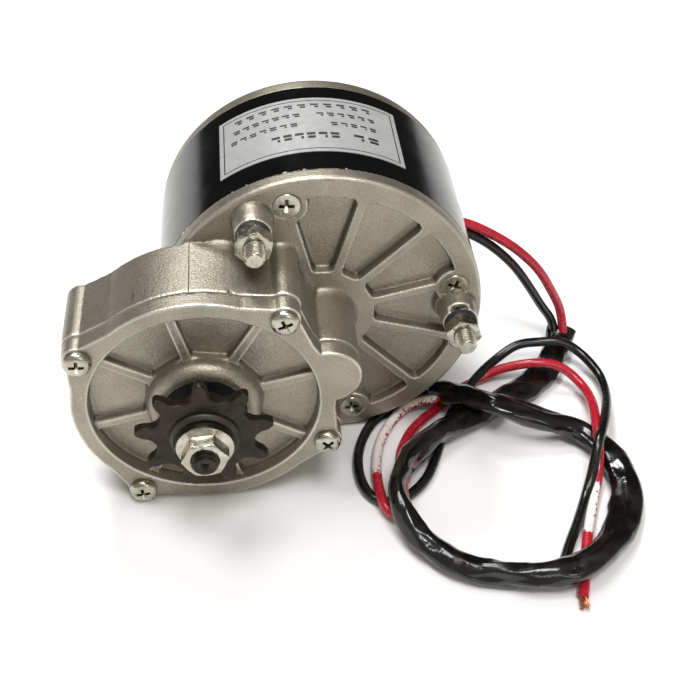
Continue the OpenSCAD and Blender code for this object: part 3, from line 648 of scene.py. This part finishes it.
def make_strands(colour, route):
    """Fine copper wires that twist and splay where the insulation ends."""
    line = flowing(on_table(route), 0.25)
    side, up = sides_of(line)
    shells = []
    for i in range(19):
        layer = 0 if i == 0 else 1 if i < 7 else 2
        start = 2 * math.pi * i / (1, 6, 12)[layer]
        spray = np.linspace(0, 1, len(line)) ** 1.6
        reach = layer * 0.48 + spray * (0.5 + 0.35 * math.sin(2.3 * i)) * (0.4 + 0.4 * layer)
        turn = start + spray * (0.9 + 0.5 * math.sin(1.7 * i))
        middle = line + (reach * np.cos(turn))[:, None] * side + (reach * np.sin(turn))[:, None] * up
        middle[:, 2] = np.maximum(middle[:, 2], TABLE + 0.16)
        kept = middle[: len(line) - i % 4]
        shells.append(skin(tube_rings(kept, 0.17, 0.17, 6)))
    points, faces = join_shells(shells)
    piece = new_object(f"{colour}_lead_copper", points * MM, faces, sharp=60)
    return stand_for(piece, PAINT["copper"], f"{colour}_lead_strands")


sleeve_middle = make_sleeve()
make_lead("red", RED_FEED, RED_TAIL, sleeve_middle, -1.5, RED_END, [(229, 276), (20, 42)])
make_lead("black", BLACK_FEED, BLACK_TAIL, sleeve_middle, 1.5, BLACK_END, [])


# ---------- Castings ----------

CASE_R, CASE_HEIGHT, BOSS_R = 39.1, 23.0, 5.0
SCREW_CIRCLE_R, SCREW_ANGLES = 40.2, (38.8, 135.5, -136.0, -38.8)
END_SCREW_R, END_SCREW_ANGLES = 42.4, (90.0, -2.0, 270.0)
LOBE_R = 9.7
STUDS = [local_xy(MOUNTS[name]) for name in ("mounting_stud_1", "mounting_stud_2")]
STUD_BOSS_TOP = 8.0
COVER_SCREWS = [polar(SCREW_CIRCLE_R, a, OUTPUT) for a in SCREW_ANGLES]
END_SCREWS = [polar(END_SCREW_R, a) for a in END_SCREW_ANGLES]


def skirt(radius, centre, low, spread, high, hollow):
    """A tapered collar that gives a wall its casting draft, kept inside the round face."""
    sides = 128
    a = np.arange(sides) * 2 * math.pi / sides
    away = np.hypot(centre[0] + radius * np.cos(a), centre[1] + radius * np.sin(a))
    rim, fade = 4.5, 4
    room = np.clip((CAN_R - rim - away) / fade, 0, 1)
    rings = [circle_at(radius - hollow, low, centre, sides),
             circle_at(radius + spread * room, low, centre, sides),
             circle_at(radius + 0.45 * spread * room, low + 1.0 * spread, centre, sides),
             circle_at(radius + 0.2 * spread * room, low + 2.2 * spread, centre, sides),
             circle_at(radius, high, centre, sides),
             circle_at(radius - hollow, high, centre, sides)]
    return skin(rings, looped=True)


def edge_field(mesh):
    """How convex (above 0) or hollow (below 0) the surface is at each point, smoothed."""
    count = len(mesh.vertices)
    co, normal = vertex_rows(mesh, "co") / MM, vertex_rows(mesh, "normal")
    ends = np.zeros(len(mesh.edges) * 2, int)
    mesh.edges.foreach_get("vertices", ends)
    a, b = ends.reshape(-1, 2).T
    uses = np.maximum(np.bincount(a, minlength=count) + np.bincount(b, minlength=count), 1)

    def averaged(values):
        return (np.bincount(a, values[b], count) + np.bincount(b, values[a], count)) / uses

    middle = np.stack([averaged(co[:, k]) for k in range(3)], axis=1)
    value = -((middle - co) * normal).sum(1)
    span = averaged(np.ones(count))
    gap = np.linalg.norm(co[a] - co[b], axis=1)
    long = (np.bincount(a, gap, count) + np.bincount(b, gap, count)) / uses
    value = 4 * value / np.maximum(long * span, 0.05)
    for _ in range(3):
        value = 0.5 * value + 0.5 * averaged(value)
    return value


def local_points(mesh):
    """Where the points of a mesh are, in millimetres of the local layout."""
    return vertex_rows(mesh, "co") @ STANCE / MM


def put_field(mesh, name, values):
    field = mesh.attributes.new(name, "FLOAT", "POINT")
    field.data.foreach_set("value", np.asarray(values, float).ravel())


def cast_piece(node, voxel_mm, rounds, extras=(), faces_kept=190_000, late=(), dents=()):
    """A casting: the CAD shape and its extra shells fused into one skin and rounded off.

    late shells are joined after the rounding; dents are (x, y, z, radius, depth), each pressed in and darkened
    with painted shade.
    """
    mesh = welded_mesh(node)
    shell = (vertex_rows(mesh, "co"), [list(f.vertices) for f in mesh.polygons])
    extra = [(to_row(p), f) for p, f in extras]
    points, faces = join_shells([shell, *extra])
    piece = new_object(f"{node}_cast", points, faces)
    fuse = piece.modifiers.new("fuse", "REMESH")
    fuse.mode, fuse.voxel_size = "VOXEL", voxel_mm * MM
    soften = piece.modifiers.new("soften", "SMOOTH")
    soften.factor, soften.iterations = 0.5, rounds
    baked(piece)
    size = len(piece.data.polygons) * 2
    if size > faces_kept:
        thin = piece.modifiers.new("thin", "DECIMATE")
        thin.ratio = faces_kept / size
        baked(piece)
    mesh = piece.data
    co, normal = vertex_rows(mesh, "co"), vertex_rows(mesh, "normal")
    edge, dent_shade = edge_field(mesh), np.zeros(len(co))
    for x, y, z, radius, depth in dents:
        near = np.linalg.norm(co - to_row([x, y, z]), axis=1) / MM / radius
        press = np.clip(1 - near, 0, 1) ** 0.7
        co -= normal * (press * depth * MM)[:, None]
        # Each dent is also darkened with painted shade.
        dent_shade = np.maximum(dent_shade, np.clip(1.6 * press, 0, 1))
    mesh.vertices.foreach_set("co", co.ravel())
    put_field(mesh, "edge", edge)
    put_field(mesh, "dent_shade", dent_shade)
    if late:
        points, faces = join_shells([(to_row(p), f) for p, f in late])
        added = new_object(f"{node}_late", points, faces)
        # The bead gets the painted shade of a hollow, a dark line along the mould joint.
        put_field(added.data, "edge", np.full(len(points), -0.3))
        put_field(added.data, "dent_shade", np.zeros(len(points)))
        absorb(piece, added)
    mesh.shade_smooth()
    return stand_for(piece, PAINT["cast_aluminium"], node)


def bead(place, turn, low, high, wide, tall):
    """A thin raised bead along z, as a mould joint leaves on a wall; turn faces outwards."""
    a = math.radians(turn)
    out, across = np.array([math.cos(a), math.sin(a)]), np.array([-math.sin(a), math.cos(a)])
    section = [(-wide, -0.4), (-0.6 * wide, 0.7 * tall), (0, tall), (0.6 * wide, 0.7 * tall),
               (wide, -0.4)]
    rings = [np.array([[*(np.array(place) + u * across + v * out), z] for u, v in section])
             for z in (low, high)]
    return skin(rings)


PARTING_ANGLE, NICK_ANGLE, CHIP_ANGLE = 79.0, 62.0, 103
case_draft = [skirt(CASE_R, OUTPUT, 0.05, 1.5, CASE_HEIGHT - 0.3, 2.5),
              skirt(LOBE_R, (0, 0), 0.05, 1.2, CASE_HEIGHT - 0.3, 2.0)]
case_draft += [skirt(BOSS_R, place, 0.05, 0.9, CASE_HEIGHT - 0.3, 2.6) for place in COVER_SCREWS[::3]]
case_draft += [skirt(5.8, place, -3.3, 1.4, STUD_BOSS_TOP - 2, 1.6) for place in STUDS]
parting = bead(polar(CASE_R, PARTING_ANGLE, OUTPUT), PARTING_ANGLE, 0.2, CASE_HEIGHT - 0.1,
               0.22, 0.2)
# A nick and a chip in the case wall, pressed in and darkened with painted shade.
nick = (*polar(CASE_R, NICK_ANGLE, OUTPUT), CASE_HEIGHT - 0.1, 1.0, 0.5)
chip = (*polar(CASE_R, CHIP_ANGLE, OUTPUT), CASE_HEIGHT - 4.6, 0.7, 0.25)
cast_piece("front_casting", 0.42, 4, case_draft, late=[parting], dents=[nick, chip])
cast_piece("gear_case_cover", 0.36, 3)
cast_piece("rear_cover", 0.5, 3, faces_kept=90_000)


# ---------- Turned, threaded and stamped steel ----------

def hex_nut(centre, across, low, high, bore, flange=None, turn=0.0):
    """A hexagon nut with chamfered corners, and a sloping flange if asked."""
    hexa = hexagon(across, turn)
    corner = across / math.sqrt(3)
    rise = corner - across / 2
    outline = [(bore, low + 0.5), (bore, high - 0.5), (bore + 0.5, high), (across / 2 - 0.15, high)]
    rings = [circle_at(r, z, centre) for r, z in outline]
    for share in (0.2, 0.45, 0.75, 1.0):
        r = across / 2 - 0.15 + share * (corner - across / 2 + 0.15)
        z = high - 0.55 * share * rise - 0.02
        rings.append(circle_at(np.minimum(hexa, r), z, centre))
    if flange:
        for r, z in ((0, 2.3), (0.72, 1.75), (0.93, 1.15), (1.0, 0.8), (1.0, 0.25), (0.97, 0.0)):
            rings.append(circle_at(np.maximum(np.minimum(hexa, corner), r * flange), low + z, centre)
                         if z > 0.5 else circle_at(r * flange, low + z, centre))
    else:
        for share in (1.0, 0.6, 0.2):
            r = across / 2 - 0.15 + share * (corner - across / 2 + 0.15)
            z = low + 0.55 * share * rise + 0.02
            rings.append(circle_at(np.minimum(hexa, r), z, centre))
        rings.append(circle_at(across / 2 - 0.15, low, centre))
    rings.append(circle_at(bore + 0.5, low, centre))
    return skin(rings, looped=True)


def shade_in_roots(mesh, places, radius, depth):
    """Painted shade in the roots of threads of this radius round each (x, y)."""
    at = local_points(mesh)
    away = np.min([np.hypot(at[:, 0] - x, at[:, 1] - y) for x, y in places], axis=0)
    below_tip = at[:, 2] < at[:, 2].max() - 0.9
    put_field(mesh, "recess_shade", np.clip((radius - away) / depth - 0.25, 0, 0.9) * below_tip)


def steel_piece(name, shells, paint, *nodes, sharp=32.0, worn=False):
    points, faces = join_shells(shells)
    piece = new_object(name, to_row(points), faces, sharp)
    # Convex edges marked for lightening: partly wear, partly painted highlight.
    if worn:
        put_field(piece.data, "edge", edge_field(piece.data))
    return stand_for(piece, PAINT[paint], *nodes)


STUD_R, STUD_PITCH, STUD_TIP = 3.0, 1.0, front_of("mounting_studs")
WASHER_TOP = front_of("stud_washers")
NUT_TOP = front_of("stud_nuts")
studs = steel_piece("mounting_studs_threaded",
                    [threaded(STUD_R, STUD_PITCH, back_of("mounting_studs"), STUD_TIP, p) for p in STUDS],
                    "zinc", "mounting_studs")
shade_in_roots(studs.data, STUDS, STUD_R, THREAD_DEPTH * STUD_PITCH)
steel_piece("stud_nuts_chamfered",
            [hex_nut(p, 10.0, WASHER_TOP, NUT_TOP, 2.7, turn=t) for p, t in zip(STUDS, (4, -25))],
            "zinc", "stud_nuts")
washer_outline = rounded([(2.95, STUD_BOSS_TOP), (2.95, WASHER_TOP), (5.2, WASHER_TOP),
                          (5.2, STUD_BOSS_TOP)], 0.45)
steel_piece("stud_washers_turned", [turned(washer_outline, p) for p in STUDS], "rubber_black",
            "stud_washers")

PAN_HEIGHT = 2.7
COVER_FRONT = front_of("cover_screws") - PAN_HEIGHT


def screw_head(outline, places):
    """Solid heads turned from an outline of (r, z) that ends on the axis side."""
    return [skin([circle_at(r, z, p, 64) for r, z in outline]) for p in places]


def make_screws(name, node, outline, places, size, top, depth, turns):
    points, faces = join_shells(screw_head(outline, places))
    piece = new_object(name, to_row(points), faces, 40)
    points, faces = join_shells(cross_cutter(places, size, top, depth, turns))
    cut(piece, new_object("cutter", to_row(points), faces))
    piece.data.shade_smooth()
    piece.data.set_sharp_from_angle(angle=math.radians(40))
    at = local_points(piece.data)
    away = np.min([np.hypot(at[:, 0] - x, at[:, 1] - y) for x, y in places], axis=0)
    # Painted shade at the bottom of the cross recess.
    put_field(piece.data, "recess_shade", 0.85 * ((at[:, 2] < top - 0.4 * depth) & (away < 1.1 * size)))
    stand_for(piece, PAINT["zinc"], node)


pan_top = COVER_FRONT + PAN_HEIGHT
pan_outline = [(2.0, 10.0), (2.0, COVER_FRONT + 0.05), (3.7, COVER_FRONT + 0.05), (4.1, COVER_FRONT + 0.3),
               (4.2, COVER_FRONT + 0.8), (4.15, COVER_FRONT + 1.3), (3.85, COVER_FRONT + 1.85),
               (3.3, COVER_FRONT + 2.3), (2.4, COVER_FRONT + 2.58), (1.2, pan_top - 0.02)]
make_screws("cover_screws_pan_head", "cover_screws", pan_outline, COVER_SCREWS, 2.35, pan_top, 1.9,
            (9, -16, -6, 29))
flat_outline = [(2.0, back_of("end_screws")), (2.0, -2.2), (3.95, -0.35), (4.05, -0.15), (3.95, -0.02),
                (3.8, 0.0)]
make_screws("end_screws_countersunk", "end_screws", flat_outline, END_SCREWS, 2.45, 0.0, 1.7,
            (-16, -36, -6))

# Output shaft: its own CAD shape up to the nut, then a threaded end with a centre drilling
SHAFT_END, NUT_BACK = front_of("output_shaft"), back_of("sprocket_nut")
M8_R, M8_PITCH = 4.0, 1.25


def make_output_shaft():
    piece = bpy.data.objects.new("output_shaft_threaded", welded_mesh("output_shaft"))
    bpy.context.scene.collection.objects.link(piece)
    block, block_faces = skin([circle_at(7, z, OUTPUT, 48) for z in (NUT_BACK - 0.1, SHAFT_END + 2)])
    cut(piece, new_object("cutter", to_row(block), block_faces))
    rod, rod_faces = threaded(M8_R, M8_PITCH, NUT_BACK - 0.3, SHAFT_END, OUTPUT, drill=1.5)
    absorb(piece, new_object("rod", to_row(rod), rod_faces))
    piece.data.shade_smooth()
    piece.data.set_sharp_from_angle(angle=math.radians(30))
    put_field(piece.data, "edge", np.zeros(len(piece.data.vertices)))
    at = local_points(piece.data)
    away = np.hypot(at[:, 0] - OUTPUT[0], at[:, 1] - OUTPUT[1])
    # Painted shade in the thread roots, none at the tip.
    root = np.clip((M8_R - away) / (THREAD_DEPTH * M8_PITCH) - 0.25, 0, 0.9)
    put_field(piece.data, "recess_shade", root * (at[:, 2] > NUT_BACK) * (at[:, 2] < SHAFT_END - 0.1))
    stand_for(piece, PAINT["dark_steel"], "output_shaft")


make_output_shaft()

SPROCKET_FRONT = front_of("sprocket")
WASHER_FRONT = front_of("sprocket_washer")
WASHER_FACE = SPROCKET_FRONT + 1.9
ring_outline = rounded([(5.5, SPROCKET_FRONT), (5.5, WASHER_FRONT), (7.8, WASHER_FRONT),
                        (7.8, WASHER_FACE), (9.2, WASHER_FACE), (10.2, SPROCKET_FRONT + 0.9),
                        (10.2, SPROCKET_FRONT)], 0.25)
# The washer's rims are lightened: partly worn steel, partly painted highlight.
steel_piece("sprocket_washer_turned", [turned(ring_outline, OUTPUT)], "dark_steel", "sprocket_washer",
            worn=True)
steel_piece("sprocket_nut_flanged",
            [hex_nut(OUTPUT, 12.0, WASHER_FRONT, front_of("sprocket_nut"), 3.75, flange=8.3, turn=-8)],
            "zinc", "sprocket_nut")

TEETH, CHAIN_PITCH, TIP_R, SEAT_R, TIP_WIDTH = 9, 12.7, 20.2, 4.3, 1.5
GAP_ANGLE = 57.5
SHAFT_R, SHAFT_HALF_FLATS = 6.0, 4.8


def sprocket_outline():
    """Points round the sprocket: roller seats joined by hollow-flanked pointed teeth."""
    pitch_r = CHAIN_PITCH / 2 / math.sin(math.pi / TEETH)
    half = math.pi / TEETH
    tip = half - TIP_WIDTH / 2 / TIP_R
    seat = [(pitch_r - SEAT_R * math.cos(t), SEAT_R * math.sin(t)) for t in np.radians(range(0, 74, 12))]
    seat = [(math.hypot(x, y), math.atan2(y, x)) for x, y in seat]
    low, low_a = seat[-1]
    flank = [(low + share * (TIP_R - low), low_a + bow * (tip - low_a))
             for share, bow in ((0.3, 0.24), (0.65, 0.58))]
    side = [*seat, *flank, (TIP_R - 0.12, tip), (TIP_R, half - 0.4 * (half - tip)), (TIP_R, half)]
    points = []
    for i in range(TEETH):
        middle = math.radians(GAP_ANGLE) + 2 * half * i
        points += [(r, middle - a) for r, a in side[::-1]] + [(r, middle + a) for r, a in side[1:-1]]
    return [(r * math.cos(a), r * math.sin(a)) for r, a in points]


def make_sprocket():
    outline = sprocket_outline()
    back = SPROCKET_FRONT - 3.0
    rings = [np.array([[OUTPUT[0] + x, OUTPUT[1] + y, z] for x, y in outline])
             for z in (back, SPROCKET_FRONT)]
    points, faces = skin(rings)
    piece = new_object("sprocket_toothed", to_row(points), faces)
    soft = piece.modifiers.new("bevel", "BEVEL")
    soft.width, soft.segments, soft.limit_method = 0.35 * MM, 3, "ANGLE"
    soft.angle_limit = math.radians(50)
    baked(piece)
    hub = turned(rounded([(4.0, back - 0.5), (4.0, SPROCKET_FRONT - 1), (9.5, SPROCKET_FRONT - 1),
                          (9.5, back - 0.5)], 0.3), OUTPUT)
    absorb(piece, new_object("hub", to_row(hub[0]), hub[1]))
    a = np.arange(RING_SIDES) * 2 * math.pi / RING_SIDES
    flatted = np.minimum(SHAFT_R, SHAFT_HALF_FLATS / np.maximum(np.abs(np.sin(a)), 1e-3))
    bore = [circle_at(flatted, z, OUTPUT) for z in (back - 3, SPROCKET_FRONT + 3)]
    points, faces = skin(bore)
    cut(piece, new_object("cutter", to_row(points), faces))
    piece.data.shade_smooth()
    piece.data.set_sharp_from_angle(angle=math.radians(32))
    put_field(piece.data, "edge", np.zeros(len(piece.data.vertices)))
    stand_for(piece, PAINT["dark_steel"], "sprocket")


make_sprocket()


# ---------- Nameplate ----------

PLATE_FROM, PLATE_TO = 45.0, 111.0
PLATE_BACK, PLATE_FRONT = back_of("nameplate"), front_of("nameplate")


def wrapped(strips, low, high):
    """Thin blocks bent round the can. A strip is (degrees, degrees, z, z)."""
    shells = []
    for a0, a1, z0, z1 in strips:
        steps = max(2, int(abs(a1 - a0) / 1.5) + 1)
        rings = []
        for a in np.linspace(a0, a1, steps):
            rings.append(np.array([[*polar(r, a), z] for r, z in
                                   ((low, z0), (high, z0), (high, z1), (low, z1))]))
        shells.append(skin(rings[::-1] if a1 < a0 else rings))
    return shells


def make_nameplate():
    """A silver plate with a ruled border and rows of plain bars in place of print."""
    steel_piece("nameplate_foil", wrapped([(PLATE_FROM, PLATE_TO, PLATE_BACK, PLATE_FRONT)], CAN_R - 0.05,
                                          CAN_R + 0.16), "nameplate", "nameplate")
    degree = 360 / (2 * math.pi * CAN_R)
    inset, line = 1.5, 0.38
    a0, a1 = PLATE_FROM + inset * degree, PLATE_TO - inset * degree
    z0, z1 = PLATE_BACK + inset, PLATE_FRONT - inset
    strips = [(a0, a1, z0, z0 + line), (a0, a1, z1 - line, z1),
              (a0, a0 + line * degree, z0, z1), (a1 - line * degree, a1, z0, z1)]
    # Each row: distance from the back edge, height, then groups of (from, to, bars, share filled)
    rows = [(3.6, 2.3, [(6, 50, 11, 0.62)]), (9.0, 2.0, [(5, 24, 6, 0.66), (28, 50, 7, 0.7)]),
            (14.4, 2.0, [(5, 20, 5, 0.66), (29, 51, 7, 0.68)]),
            (20.4, 3.2, [(5, 14, 2, 0.7), (17, 38, 6, 0.74)])]
    for far, tall, groups in rows:
        for start, stop, count, share in groups:
            width = (stop - start) / count
            for i in range(count):
                a = PLATE_FROM + (start + i * width + 3) * degree * 57 / 56
                z = PLATE_BACK + far
                strips.append((a, a + width * share * degree, z, z + tall * 0.42))
                strips.append((a, a + width * share * degree * (0.6 + 0.3 * math.sin(3.1 * i + far)),
                               z + tall * 0.58, z + tall))
    steel_piece("nameplate_print", wrapped(strips, CAN_R + 0.13, CAN_R + 0.185), "rubber_black",
                "nameplate")


make_nameplate()


# ---------- Floor and light ----------

def make_floor():
    half = 1.5
    floor = new_object("floor", [(x * half, y * half, TABLE * MM - 0.0001) for x, y in
                                 ((-1, -1), (1, -1), (1, 1), (-1, 1))], [[0, 1, 2, 3]])
    floor.data.materials.append(floor_paint())


def area_light(name, place, at, size, power, colour=(1.0, 1.0, 1.0)):
    lamp = bpy.data.lights.new(name, "AREA")
    lamp.shape, lamp.size, lamp.energy, lamp.color = "DISK", size, power, colour
    light = bpy.data.objects.new(name, lamp)
    light.location = place
    light.rotation_euler = (Vector(at) - Vector(place)).to_track_quat("-Z", "Y").to_euler()
    bpy.context.scene.collection.objects.link(light)


FRONT_GLOW, BACK_GLOW = 0.42, 0.03


def make_world():
    """A soft studio backdrop that is brighter in front of the part than behind it."""
    world = bpy.data.worlds.new("studio")
    bpy.context.scene.world = world
    world.use_nodes = True
    nodes, links = world.node_tree.nodes, world.node_tree.links
    backdrop = nodes["Background"]
    backdrop.inputs["Color"].default_value = (1.0, 0.96, 0.88, 1.0)
    heading = nodes.new("ShaderNodeTexCoord")
    parts = nodes.new("ShaderNodeSeparateXYZ")
    fade = nodes.new("ShaderNodeMapRange")
    for socket, value in (("From Min", -0.3), ("From Max", 0.6), ("To Min", FRONT_GLOW),
                          ("To Max", BACK_GLOW)):
        fade.inputs[socket].default_value = value
    links.new(heading.outputs["Generated"], parts.inputs[0])
    links.new(parts.outputs["Y"], fade.inputs["Value"])
    links.new(fade.outputs["Result"], backdrop.inputs["Strength"])


make_floor()
make_world()
area_light("key", (-0.45, 0.05, 1.5), (-0.02, -0.02, 0), 0.6, 10.0)
area_light("top", (0.1, -0.5, 1.3), (0, 0, 0), 0.5, 10.0)
area_light("back", (-0.25, 0.75, 1.2), (-0.02, 0, 0), 0.45, 12.0)
area_light("front", (0.35, -0.95, 0.45), (0, 0, 0), 0.4, 1.2, (1.0, 0.94, 0.82))
bpy.context.scene.view_settings.view_transform = "Standard"
